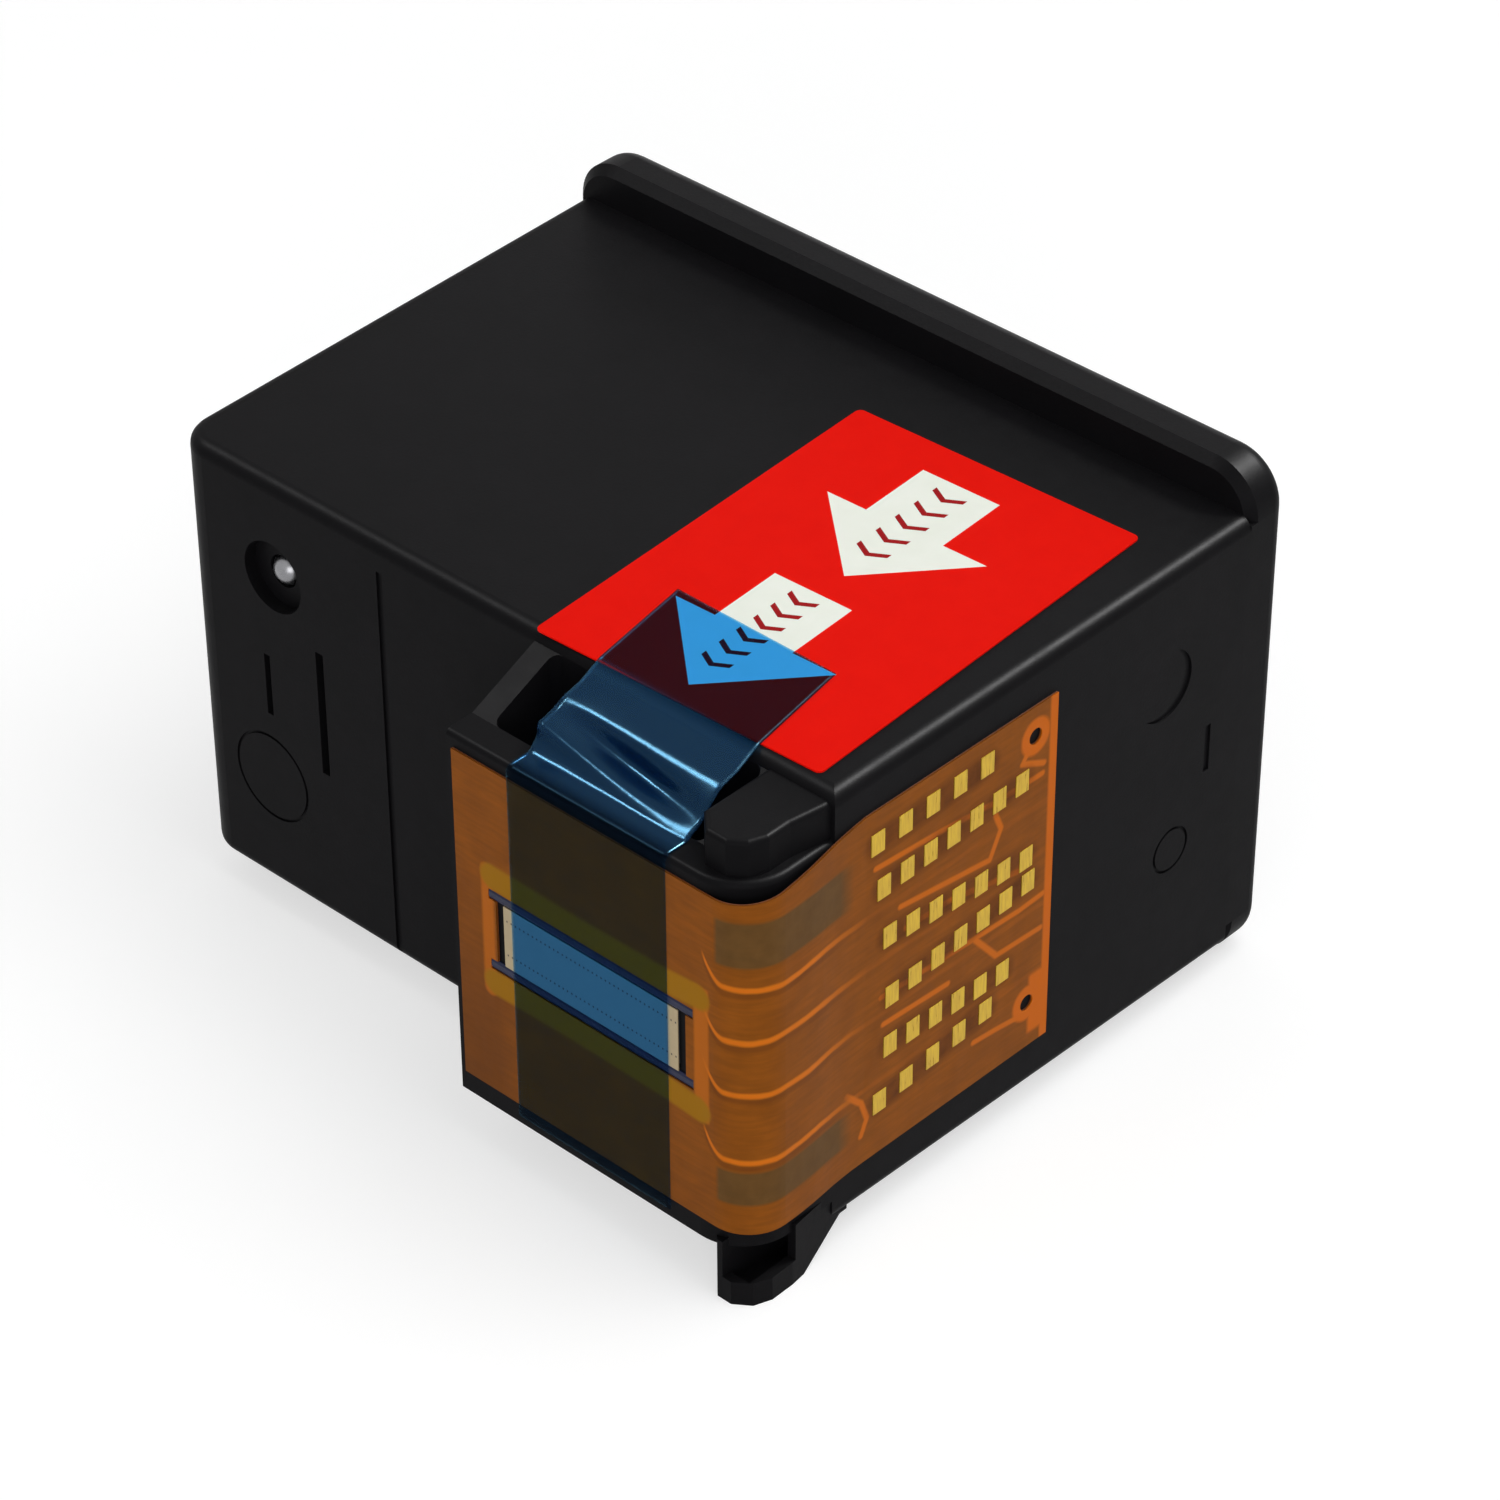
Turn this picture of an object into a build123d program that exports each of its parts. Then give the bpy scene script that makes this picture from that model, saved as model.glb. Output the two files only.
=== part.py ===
"""Inkjet ink cartridge with its own printhead, lying on its side.

+X points to the side with the contact pads, -Y to the side with the nozzles and +Y to the lid.
The sizes below are in the design frame: x = 0 is the plain end of the tank, y = 0 the tank's
front wall and z = 0 its lower wall. write_parts() moves the whole cartridge so that its origin
is the middle of the footprint that it lies on.
"""

from build123d import *
from math import asin, cos, radians, sin, tan
import os

# Tank
tank_length = 53.5
tank_depth = 35.7
tank_height = 31.0
tank_draft = 0.75
wall = 1.6
tank_edge_radius = 0.9
tank_corner_radius = 2.5

# Lid plate with its flange
lid_thickness = 3.3
lid_edge_radius = 1.1
lid_front_edge_chamfer = 0.6
lid_plate = 1.8
lid_corner_radius = 3.3
flange_above = 2.8
flange_below = 1.7
flange_past_plain_end = 0.6
spigot_height = 1.4
spigot_thickness = 1.2
spigot_clearance = 0.15
lid_rib_thickness = 1.0
lid_rib_height = 3.2
lid_rib_pitch = 9.5
lid_rib_count = 5
vent_hole_diameter = 1.2
vent_groove_width = 0.8
vent_groove_depth = 0.5
vent_turn_length = 16.0
vent_turn_pitch = 2.2
vent_turns = 5
fill_hole_diameter = 3.2
fill_hole_below_top = 7.0

# Snout
snout_length = 23.0
snout_reach = 7.2
snout_bottom = 1.6
snout_below_top = 3.0
snout_wall = 1.6
snout_corner_radius = 3.6
shelf_edge_radius = 0.4
snout_rise_to_tank = 2.3
pocket_length = 16.2
pocket_wall = 2.1
pocket_depth = 5.8
pocket_corner_radius = 0.6
chamber_radius = 0.8

# Corner block above the film and foot below it
block_inset = 0.8
block_setback = 0.9
foot_past_contact_side = 0.3
nose_length = 5.1
nose_chamfer = 1.3
nose_front_slope = 1.5
nose_side_slope = 0.45
nose_flat_start = 1.9
nose_flat_end = 3.6
nose_proud = 0.1
nose_root = 0.2
nose_root_y = 0.9
nose_edge_radius = 0.35
block_height = 2.6
block_below_top = 0.6
foot_length = 2.5
foot_chamfer = 0.25
foot_wall = 0.65
foot_floor = 0.8
foot_rim_height = 1.7
foot_rim_end = 3.4
foot_slope_start = 2.6
foot_slope_end = 0.9
foot_overlap = 0.6

# Flex circuit
film_side_margin = 0.5
film_bottom_margin = 1.6
film_height = 25.1
film_front_drop = 1.3
film_end = 18.5
cover_thickness = 0.05
copper_thickness = 0.04
film_thickness = 0.08
bend_radius = 2.7
bend_bulge = 0.35
bend_return = 2.4
tooling_hole_diameter = 1.1
tooling_hole_inset = 1.9
tooling_hole_below_top = 2.1
tooling_hole_above_bottom = 3.4
trace_gap = 0.28
trace_margin = 0.6
outer_bundle_height = 5.7
inner_bundle_count = 3
trace_before_corner = 2.3
trace_end_margin = 0.4
fan_height = 1.6
fan_gap = 0.35

# Contact pads, in rows from the bottom one up
pad_length = 1.15
pad_height = 1.55
pad_proud = 0.03
pad_gap = 0.06
lowest_row_margin = 3.8
highest_row_margin = 2.25
wide_pitch = 2.28
close_pitch = 1.94
first_row_start = 3.75
first_row_rise = 1.25
second_row_start = 4.6
second_row_rise = -0.5
third_row_start = 4.7
third_row_shift = -0.2
third_row_rise = 1.4
fourth_row_start = 4.45
fourth_row_shift = 0.45
fourth_row_rise = -1.2
fifth_row_start = 3.9
fifth_row_shift = 0.4
fifth_row_rise = 0.8
sixth_row_start = 3.35
sixth_row_rise = 0.4

# Printhead
head_from_contact_side = 11.9
head_above_snout_bottom = 13.8
plate_length = 13.7
plate_height = 4.4
plate_thickness = 0.07
barrier_thickness = 0.04
chip_length = 13.3
chip_height = 3.9
chip_thickness = 0.65
adhesive_thickness = 0.25
chip_pocket_clearance = 0.2
window_length = 14.9
window_height = 5.7
bead_length = 16.0
bead_height = 0.7
bead_clearance = 0.02
ink_slot_length = 11.6
ink_slot_height = 1.1
ink_slot_radius = 0.5
chip_slot_height = 0.66
chip_slot_radius = 0.28
adhesive_setback = 0.3

# Standpipe, filter and foam
standpipe_length = 17.0
standpipe_height = 9.6
standpipe_wall = 1.4
standpipe_radius = 3.0
floor_rib_height = 1.6
floor_rib_thickness = 1.0
floor_rib_pitch = 7.0
filter_thickness = 0.2
filter_seat = 0.5
foam_clearance = 0.15

# Ink filling hole with its ball
fill_x = 8.2
fill_z = 24.1
fill_recess_diameter = 4.9
fill_recess_depth = 0.9
ball_diameter = 2.2
ball_clearance = 0.02
ball_in_recess = 0.45
fill_boss_wall = 1.2

# Moulded marks on the front wall
mark_depth = 0.15
mark_width = 0.5
slot_depth = 0.7
groove_x = 17.4
groove_below_top = 2.1
short_slot_x = 6.9
short_slot_bottom = 13.4
short_slot_top = 17.9
long_slot_x = 11.6
long_slot_width = 0.65
long_slot_bottom = 11.2
long_slot_top = 20.3
ejector_x = 6.9
ejector_z = 8.5
ejector_diameter = 6.4
ejector_line = 0.2

# Moulded marks on the contact side
side_mark_y = 29.7
side_mark_z = 10.5
side_mark_diameter = 3.2
side_slot_y = 32.7
side_slot_bottom = 14.8
side_slot_top = 18.2
crescent_y = 28.4
crescent_z = 23.3
crescent_radius = 2.4
crescent_shift_y = 0.6
crescent_shift_z = 0.4

# Label and seal tape
label_width = 21.1
label_length = 29.0
label_corner_radius = 0.4
label_from_contact_side = 12.5
label_front_y = 0.5
label_turn = 2.4
label_thickness = 0.1
tape_width = 12.2
tape_thickness = 0.06
tape_on_label = 8.2
tape_clearance = 0.03
tape_landing = 0.4
tape_end_gap = 0.2
loop_start = 0.5
loop_reach = 2.8
loop_drop = 0.9
loop_start_radius = 2.5
loop_radius = 1.2
loop_landing_radius = 0.6

# Joined shapes overlap a little, and cutters run past the faces that they cut
overlap = 0.2
past = 1.0

# Places worked out from the sizes
draft = tan(radians(tank_draft))
lid_front = tank_depth
lid_back = tank_depth + lid_thickness
foam_front = wall + floor_rib_height
foam_back = tank_depth - lid_rib_height
standpipe_top = foam_front - filter_thickness
snout_left = tank_length - snout_length
snout_top = tank_height - snout_below_top
pocket_left = snout_left + snout_wall
pocket_floor = snout_top - pocket_depth
foot_reach = snout_reach + nose_proud
block_reach = snout_reach - block_setback
nose_back = wall - nose_proud
foot_tip = tank_length + foot_past_contact_side
block_tip = tank_length - block_inset
block_top = tank_height - block_below_top
film_left = snout_left + film_side_margin
film_bottom = snout_bottom + film_bottom_margin
film_top = film_bottom + film_height
film_face = snout_reach + cover_thickness + copper_thickness + film_thickness
chip_face = snout_reach + cover_thickness
trace_start = tank_length - trace_before_corner
head_middle_x = tank_length - head_from_contact_side
head_middle_z = snout_bottom + head_above_snout_bottom


def block(x0, x1, y0, y1, z0, z1):
    """A box between three pairs of limits."""
    middle = Pos((x0 + x1) / 2, (y0 + y1) / 2, (z0 + z1) / 2)
    return middle * Box(x1 - x0, y1 - y0, z1 - z0)


def rod_along_y(x, z, diameter, y0, y1):
    """A round rod parallel to Y."""
    middle = Pos(x, (y0 + y1) / 2, z) * Rot(X=90)
    return middle * Cylinder(diameter / 2, y1 - y0)


def rounded_bar(x, z, length, height, radius, y0, y1):
    """A bar parallel to Y whose section is a rounded rectangle."""
    section = Plane.XZ.offset(-y0) * Pos(x, z) * RectangleRounded(length, height, radius)
    return extrude(section, y1 - y0, dir=(0, 1, 0))


def tapered_box(inset, y0, y1):
    """The tank's outline, drawn in by an inset, between two depths, with the draft of the mould."""
    start = inset - y0 * draft
    length = tank_length - 2 * start
    height = tank_height - 2 * start
    growth = (y1 - y0) * draft
    frustum = Wedge(
        length,
        y1 - y0,
        height,
        -growth,
        -growth,
        length + growth,
        height + growth,
        align=None,
    )
    return Pos(start, y0, start) * frustum


def upper_face(y):
    """Height of the tank's upper wall at a depth."""
    return tank_height + y * draft


def contact_plane():
    """The plane of the contact side: local x runs along the tank's depth, local y is up."""
    along = Vector(sin(radians(tank_draft)), cos(radians(tank_draft)), 0)
    outward = Vector(cos(radians(tank_draft)), -sin(radians(tank_draft)), 0)
    return Plane(origin=(tank_length, 0, 0), x_dir=along, z_dir=outward)


def tank_shell():
    """The drafted box of the tank with rounded edges and a rounded plain end."""
    shell = tapered_box(0, 0, tank_depth)
    upright = shell.edges().filter_by(Axis.Z).group_by(Axis.Y)[0]
    shell = fillet(upright.sort_by(Axis.X)[0], tank_corner_radius)
    rim = shell.faces().sort_by(Axis.Y)[-1].edges()
    upper = shell.faces().sort_by(Axis.Z)[-1].edges()
    lower = shell.faces().sort_by(Axis.Z)[0].edges()
    soft = [edge for edge in upper + lower if not is_among(edge, rim)]
    return fillet(soft, tank_edge_radius)


def is_among(edge, others):
    """True where an edge is one of the others."""
    return any(edge.center().sub(other.center()).length < 0.001 for other in others)


def nose_plan(left, cut, reach, tip):
    """Outline of the corner block or of the foot, seen from above, with a cut left corner."""
    outline = Polyline(
        (left, nose_back),
        (left, -reach + cut),
        (left + cut, -reach),
        (tip - nose_front_slope, -reach),
        (tip - nose_side_slope, -reach + nose_front_slope / 2),
        (tip, -reach + nose_flat_start),
        (tip, -reach + nose_flat_end),
        (tank_length - nose_root, nose_root_y),
        (tank_length - nose_root, nose_back),
        close=True,
    )
    return make_face(outline)


def corner_block():
    """The block that stands on the snout behind the upper edge of the film."""
    plan = nose_plan(tank_length - nose_length, nose_chamfer, block_reach, block_tip)
    solid = extrude(Plane.XY.offset(block_top - block_height) * plan, block_height)
    rim = solid.faces().sort_by(Axis.Z)[-1].edges()
    soft = [edge for edge in rim if edge.center().Y < 0]
    return fillet(soft, nose_edge_radius)


def foot():
    """The hollow foot below the film: a floor, a left wall, a rear web and a low rim."""
    foot_left = tank_length - foot_length
    plan = nose_plan(foot_left, foot_chamfer, foot_reach, foot_tip)
    ground = -flange_below_tank()
    top = snout_bottom + foot_overlap
    solid = extrude(Plane.XY.offset(ground) * plan, top - ground)
    hollow = block(
        foot_left + foot_wall,
        foot_tip - foot_wall,
        -foot_reach + foot_wall,
        -foot_wall,
        ground + foot_floor,
        top + past,
    )
    rim = block(
        foot_left + foot_wall,
        foot_tip + past,
        -foot_reach - past,
        -foot_rim_end,
        ground + foot_rim_height,
        top + past,
    )
    slope = Polyline(
        (-foot_slope_start, ground - past),
        (-foot_slope_start, ground),
        (foot_slope_end, 0),
        (nose_back + past, 0),
        (nose_back + past, ground - past),
        close=True,
    )
    wedge = extrude(Plane.YZ.offset(foot_left - past) * make_face(slope), foot_tip - foot_left + 2 * past)
    return solid - hollow - rim - wedge


def flange_below_tank():
    """How far the lid's flange and the foot reach below z = 0, so that both touch the ground."""
    return flange_below + tank_depth * draft


def snout():
    """The snout that carries the printhead, with the open pocket behind its front wall."""
    body = block(snout_left, tank_length, -snout_reach, wall, snout_bottom, snout_top)
    bend_edge = body.edges().filter_by(Axis.Z).sort_by(Axis.X)[-2:].sort_by(Axis.Y)[0]
    body = fillet(bend_edge, snout_corner_radius)
    shelf_edge = body.edges().filter_by(Axis.X).group_by(Axis.Z)[-1].sort_by(Axis.Y)[0]
    body = fillet(shelf_edge, shelf_edge_radius)
    step = Polyline(
        (-snout_reach + pocket_wall, snout_top),
        (0, snout_top + snout_rise_to_tank),
        (wall, snout_top + snout_rise_to_tank),
        (wall, snout_top),
        close=True,
    )
    rise_length = tank_length - snout_left - tank_edge_radius
    rise = extrude(Plane.YZ.offset(snout_left) * make_face(step), rise_length)
    body = body + rise + corner_block() + foot()
    pocket = block(
        pocket_left,
        pocket_left + pocket_length,
        -snout_reach + pocket_wall,
        0,
        pocket_floor,
        block_top + past,
    )
    return body - fillet(pocket.edges().filter_by(Axis.Z), pocket_corner_radius)


def chamber():
    """The ink chamber: the tank's inside and the part of it that runs on into the snout."""
    main = tapered_box(wall, wall, tank_depth + past)
    main = fillet(main.edges().filter_by(Axis.Z).group_by(Axis.Y)[0], chamber_radius)
    well = block(
        snout_left + snout_wall,
        tank_length - snout_wall,
        -snout_reach + snout_wall,
        wall + past,
        snout_bottom + snout_wall,
        pocket_floor - snout_wall,
    )
    return main + fillet(well.edges().filter_by(Axis.Y), chamber_radius)


def standpipe():
    """The tower that carries the filter, on the snout's front wall, before its channel is cut."""
    return rounded_bar(
        head_middle_x,
        head_middle_z,
        standpipe_length,
        standpipe_height,
        standpipe_radius,
        -snout_reach + snout_wall - overlap,
        standpipe_top,
    )


def ink_channel():
    """The funnel from the filter down to the slot behind the chip."""
    wide = Plane.XZ.offset(-standpipe_top) * Pos(head_middle_x, head_middle_z) * RectangleRounded(
        standpipe_length - 2 * standpipe_wall,
        standpipe_height - 2 * standpipe_wall,
        standpipe_radius - standpipe_wall,
    )
    narrow_y = -snout_reach + snout_wall
    narrow = Plane.XZ.offset(-narrow_y) * Pos(head_middle_x, head_middle_z) * RectangleRounded(
        ink_slot_length,
        ink_slot_height,
        ink_slot_radius,
    )
    funnel = loft([wide, narrow])
    slot = rounded_bar(
        head_middle_x,
        head_middle_z,
        ink_slot_length,
        ink_slot_height,
        ink_slot_radius,
        -snout_reach - past,
        narrow_y,
    )
    return funnel + slot


def chip_pocket_depth():
    """Depth of the pocket in the snout's front for the chip and the adhesive under it."""
    return chip_thickness + adhesive_thickness - cover_thickness


def chip_pocket():
    """The pocket in the snout's front face that the chip sits in."""
    return block(
        head_middle_x - chip_length / 2 - chip_pocket_clearance,
        head_middle_x + chip_length / 2 + chip_pocket_clearance,
        -snout_reach - past,
        -snout_reach + chip_pocket_depth(),
        head_middle_z - chip_height / 2 - chip_pocket_clearance,
        head_middle_z + chip_height / 2 + chip_pocket_clearance,
    )


def floor_ribs():
    """Ribs on the chamber's floor that hold the foam off it, clear of the snout's well."""
    ribs = Part()
    count = int(snout_left // floor_rib_pitch)
    for index in range(count):
        x = floor_rib_pitch * (index + 1)
        if abs(x - fill_x) > fill_recess_diameter:
            ribs += block(
                x - floor_rib_thickness / 2,
                x + floor_rib_thickness / 2,
                wall - overlap,
                foam_front,
                wall,
                tank_height - wall,
            )
    return ribs


def fill_hole():
    """The recess and the hole for the ball, open at both ends."""
    recess = rod_along_y(fill_x, fill_z, fill_recess_diameter, -past, fill_recess_depth)
    hole = rod_along_y(fill_x, fill_z, ball_diameter + ball_clearance, -past, foam_front + past)
    return recess + hole


def fill_boss():
    """The boss inside the tank round the ball's hole."""
    diameter = fill_recess_diameter + 2 * fill_boss_wall
    return rod_along_y(fill_x, fill_z, diameter, wall - overlap, foam_front)


def front_marks():
    """Slots, a groove and an ejector ring on the front wall."""
    groove_top = tank_height - groove_below_top
    groove = block(groove_x, groove_x + mark_width, -past, mark_depth, -past, groove_top)
    short_slot = block(
        short_slot_x,
        short_slot_x + mark_width,
        -past,
        slot_depth,
        short_slot_bottom,
        short_slot_top,
    )
    long_slot = block(
        long_slot_x,
        long_slot_x + long_slot_width,
        -past,
        slot_depth,
        long_slot_bottom,
        long_slot_top,
    )
    inner = ejector_diameter - 2 * ejector_line
    ring = rod_along_y(ejector_x, ejector_z, ejector_diameter, -past, mark_depth)
    ring -= rod_along_y(ejector_x, ejector_z, inner, -2 * past, mark_depth + past)
    return groove + short_slot + long_slot + ring


def side_marks():
    """The round mark, the short slot and the crescent on the contact side."""
    plane = contact_plane().offset(-mark_depth)
    cut = mark_depth + past
    radius = side_mark_diameter / 2
    ring = Circle(radius) - Circle(radius - ejector_line)
    mark = extrude(plane * Pos(side_mark_y, side_mark_z) * ring, cut)
    slot_middle = (side_slot_bottom + side_slot_top) / 2
    slot = plane * Pos(side_slot_y, slot_middle) * Rectangle(mark_width, side_slot_top - side_slot_bottom)
    moon = Circle(crescent_radius) - Pos(-crescent_shift_y, crescent_shift_z) * Circle(crescent_radius)
    moon -= Pos(-crescent_radius, crescent_radius) * Rectangle(2 * crescent_radius, 2 * crescent_radius)
    moon = plane * Pos(crescent_y, crescent_z) * moon
    return mark + extrude(slot, cut) + extrude(moon, cut)


def tank_body():
    """The moulded tank: one piece with snout, block, foot, standpipe and ribs."""
    body = tank_shell() + snout()
    body -= chamber()
    body += standpipe() + floor_ribs() + fill_boss()
    body -= ink_channel()
    body -= chip_pocket()
    body -= fill_hole()
    return body - front_marks() - side_marks()


def lid_outline(y):
    """The lid's outline with its flange, on a plane across the depth."""
    left = -tank_depth * draft - flange_past_plain_end
    right = tank_length + tank_depth * draft
    bottom = -flange_below_tank()
    top = upper_face(tank_depth) + flange_above
    middle = Pos((left + right) / 2, (bottom + top) / 2)
    return Plane.XZ.offset(-y) * middle * RectangleRounded(right - left, top - bottom, lid_corner_radius)


def vent_groove():
    """The winding vent channel in the lid's outer face, from one vent hole to the other."""
    groove = Part()
    floor_y = lid_back - vent_groove_depth
    left = tank_length / 2 - vent_turn_length / 2
    half = vent_groove_width / 2
    for turn in range(vent_turns):
        z = tank_height / 2 + (turn - (vent_turns - 1) / 2) * vent_turn_pitch
        groove += block(
            left - half,
            left + vent_turn_length + half,
            floor_y,
            lid_back + past,
            z - half,
            z + half,
        )
        if turn < vent_turns - 1:
            x = left + vent_turn_length if turn % 2 == 0 else left
            groove += block(x - half, x + half, floor_y, lid_back + past, z, z + vent_turn_pitch)
    return groove


def lid_cheek():
    """The flat cheek that keeps the lid flush with the tank's contact side."""
    side = tank_length + tank_depth * draft
    return block(
        side - wall,
        side,
        lid_front,
        lid_front + lid_front_edge_chamfer + overlap,
        -flange_below_tank() + lid_corner_radius,
        upper_face(tank_depth) + flange_above - lid_corner_radius,
    )


def lid():
    """The lid plate with its flange, spigot, foam ribs, vents and filling holes."""
    plate = extrude(lid_outline(lid_front), lid_thickness, dir=(0, 1, 0))
    back = plate.faces().sort_by(Axis.Y)[-1].edges()
    plate = fillet(back, lid_edge_radius)
    front = plate.faces().sort_by(Axis.Y)[0].edges()
    plate = chamfer(front, lid_front_edge_chamfer)
    plate += lid_cheek()
    plate += tapered_box(wall + spigot_clearance, lid_front - spigot_height, lid_front + overlap)
    plate -= tapered_box(
        wall + spigot_clearance + spigot_thickness,
        lid_front - spigot_height - past,
        lid_back - lid_plate,
    )
    for index in range(lid_rib_count):
        x = tank_length / 2 + (index - (lid_rib_count - 1) / 2) * lid_rib_pitch
        plate += block(
            x - lid_rib_thickness / 2,
            x + lid_rib_thickness / 2,
            foam_back,
            lid_back - lid_plate + overlap,
            wall + spigot_thickness,
            tank_height - wall - spigot_thickness,
        )
    plate -= vent_groove()
    first_z = tank_height / 2 - (vent_turns - 1) / 2 * vent_turn_pitch
    vent_x = tank_length / 2 - vent_turn_length / 2
    plate -= rod_along_y(vent_x, first_z, vent_hole_diameter, lid_front - past, lid_back + past)
    hole_z = tank_height - fill_hole_below_top
    for side in (-1, 1):
        x = tank_length / 2 + side * 1.5 * lid_rib_pitch
        plate -= rod_along_y(x, hole_z, fill_hole_diameter, lid_front - past, lid_back + past)
    return plate


def fill_ball():
    """The ball pressed into the filling hole."""
    middle_y = fill_recess_depth - ball_in_recess + ball_diameter / 2
    return Pos(fill_x, middle_y, fill_z) * Sphere(ball_diameter / 2)


def foam():
    """The foam block between the floor ribs with the filter and the ribs of the lid."""
    return tapered_box(wall + foam_clearance, foam_front, foam_back)


def filter_screen():
    """The steel mesh on top of the standpipe."""
    return rounded_bar(
        head_middle_x,
        head_middle_z,
        standpipe_length - 2 * filter_seat,
        standpipe_height - 2 * filter_seat,
        standpipe_radius - filter_seat,
        standpipe_top,
        foam_front,
    )


def film_line(offset):
    """The line of the circuit seen from above, at a distance out from the snout's front.

    It runs along the front, bows round the corner clear of the snout, and lies on the contact side.
    """
    plane = contact_plane()
    corner = Vector(tank_length + bend_bulge - bend_radius, -snout_reach + bend_radius)
    turned = plane.to_local_coords(corner)
    bow_length = bend_return - turned.X
    bow_height = turned.Z + bend_radius
    bow_radius = (bow_length**2 + bow_height**2) / (4 * bow_height)
    half_turn = asin(bow_length / (2 * bow_radius))

    def outward(turn):
        """A point on the arc that leads off the corner, by how far it has turned."""
        radius = bow_radius + offset
        middle = turned.Z + bend_radius - bow_radius
        point = plane.from_local_coords((turned.X + radius * sin(turn), 0, middle + radius * cos(turn)))
        return (point.X, point.Y)

    def inward(turn):
        """A point on the arc that lands on the contact side, by how far it has still to turn."""
        radius = bow_radius - offset
        height = bow_radius - radius * cos(turn)
        point = plane.from_local_coords((bend_return - radius * sin(turn), 0, height))
        return (point.X, point.Y)

    def round_corner(angle):
        """A point on the arc round the snout's corner, by its angle from the contact side."""
        radius = bend_radius + offset
        return (corner.X + radius * cos(radians(angle)), corner.Y - radius * sin(radians(angle)))

    far_end = plane.from_local_coords((film_end, 0, offset))
    return [
        Line((film_left, -snout_reach - offset), round_corner(90)),
        ThreePointArc(round_corner(90), round_corner(45), round_corner(tank_draft)),
        ThreePointArc(round_corner(tank_draft), outward(half_turn / 2), outward(half_turn)),
        ThreePointArc(outward(half_turn), inward(half_turn / 2), inward(0)),
        Line(inward(0), (far_end.X, far_end.Y)),
    ]


def film_layer(inner, outer, bottom, top):
    """A layer of the circuit between two distances from the snout's front and two levels."""
    near = film_line(inner)
    far = film_line(outer)
    ends = [
        Line(near[0] @ 0, far[0] @ 0),
        Line(near[-1] @ 1, far[-1] @ 1),
    ]
    face = make_face(Wire(near + far + ends))
    return extrude(Plane.XY.offset(bottom) * face, top - bottom)


def film_trim(margin):
    """What is cut off above a line that keeps a margin below the film's upper edge.

    The edge is lower along the snout's front and climbs round the bend to the contact side.
    """
    low = film_top - film_front_drop - margin
    high = film_top - margin
    strip = Polyline(
        (-film_face - past, low),
        (-snout_reach, low),
        (bend_return, high),
        (film_end + past, high),
        (film_end + past, film_top + past),
        (-film_face - past, film_top + past),
        close=True,
    )
    return extrude(Plane.YZ.offset(film_left - past) * make_face(strip), foot_tip - film_left + 2 * past)


def head_window():
    """The window in the circuit round the nozzle plate, with room for the ends of the beads."""
    window = block(
        head_middle_x - window_length / 2,
        head_middle_x + window_length / 2,
        -film_face - past,
        -snout_reach + past,
        head_middle_z - window_height / 2,
        head_middle_z + window_height / 2,
    )
    for side in (-1, 1):
        window += block(
            head_middle_x - bead_length / 2 - bead_clearance,
            head_middle_x + bead_length / 2 + bead_clearance,
            -film_face - past,
            -snout_reach + past,
            bead_level(side) - bead_height / 2 - bead_clearance,
            bead_level(side) + bead_height / 2 + bead_clearance,
        )
    return window


def bead_level(side):
    """Height of the middle of a sealing bead, above or below the nozzle plate."""
    return head_middle_z + side * (plate_height / 2 + bead_height / 2 + bead_clearance)


def pad_rows():
    """The rows of pads from the bottom one up: where they start, how many, and how they rise."""
    return [
        {"start": first_row_start, "pads": 5, "pitch": wide_pitch, "shift": 0, "rise": first_row_rise},
        {"start": second_row_start, "pads": 6, "pitch": close_pitch, "shift": 0, "rise": second_row_rise},
        {
            "start": third_row_start,
            "pads": 7,
            "pitch": close_pitch,
            "shift": third_row_shift,
            "rise": third_row_rise,
        },
        {
            "start": fourth_row_start,
            "pads": 7,
            "pitch": close_pitch,
            "shift": fourth_row_shift,
            "rise": fourth_row_rise,
        },
        {
            "start": fifth_row_start,
            "pads": 7,
            "pitch": close_pitch,
            "shift": fifth_row_shift,
            "rise": fifth_row_rise,
        },
        {"start": sixth_row_start, "pads": 5, "pitch": wide_pitch, "shift": 0, "rise": sixth_row_rise},
    ]


def pad_places():
    """Places of all pads on the contact plane, in rows spread evenly over the film."""
    places = []
    rows = pad_rows()
    lowest = film_bottom + lowest_row_margin
    step = (film_top - highest_row_margin - lowest) / (len(rows) - 1)
    for number, row in enumerate(rows):
        level = lowest + number * step + row["shift"]
        for index in range(row["pads"]):
            share = index / (row["pads"] - 1)
            places.append((row["start"] + index * row["pitch"], level + share * row["rise"]))
    return places


def on_contact_side(sketch, low, high):
    """A sketch on the contact plane, made into a layer between two distances out of it."""
    return extrude(contact_plane().offset(low) * sketch, high - low)


def tooling_holes():
    """The two holes at the film's end, as cutters."""
    holes = Part()
    for level in (film_top - tooling_hole_below_top, film_bottom + tooling_hole_above_bottom):
        spot = Pos(film_end - tooling_hole_inset, level) * Circle(tooling_hole_diameter / 2)
        holes += on_contact_side(spot, -past, past)
    return holes


def film():
    """The polyimide film with its window, tooling holes and an opening at every pad."""
    inner = cover_thickness + copper_thickness
    sheet = film_layer(inner, inner + film_thickness, film_bottom, film_top)
    sheet -= film_trim(0)
    sheet -= head_window()
    sheet -= tooling_holes()
    openings = Sketch()
    for along, level in pad_places():
        openings += Pos(along, level) * Rectangle(pad_length, pad_height)
    return sheet - on_contact_side(openings, 0, past)


def cover_layer():
    """The insulating layer under the conductors, which also bonds the circuit to the tank."""
    sheet = film_layer(0, cover_thickness, film_bottom, film_top)
    return sheet - film_trim(0) - head_window() - tooling_holes()


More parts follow.
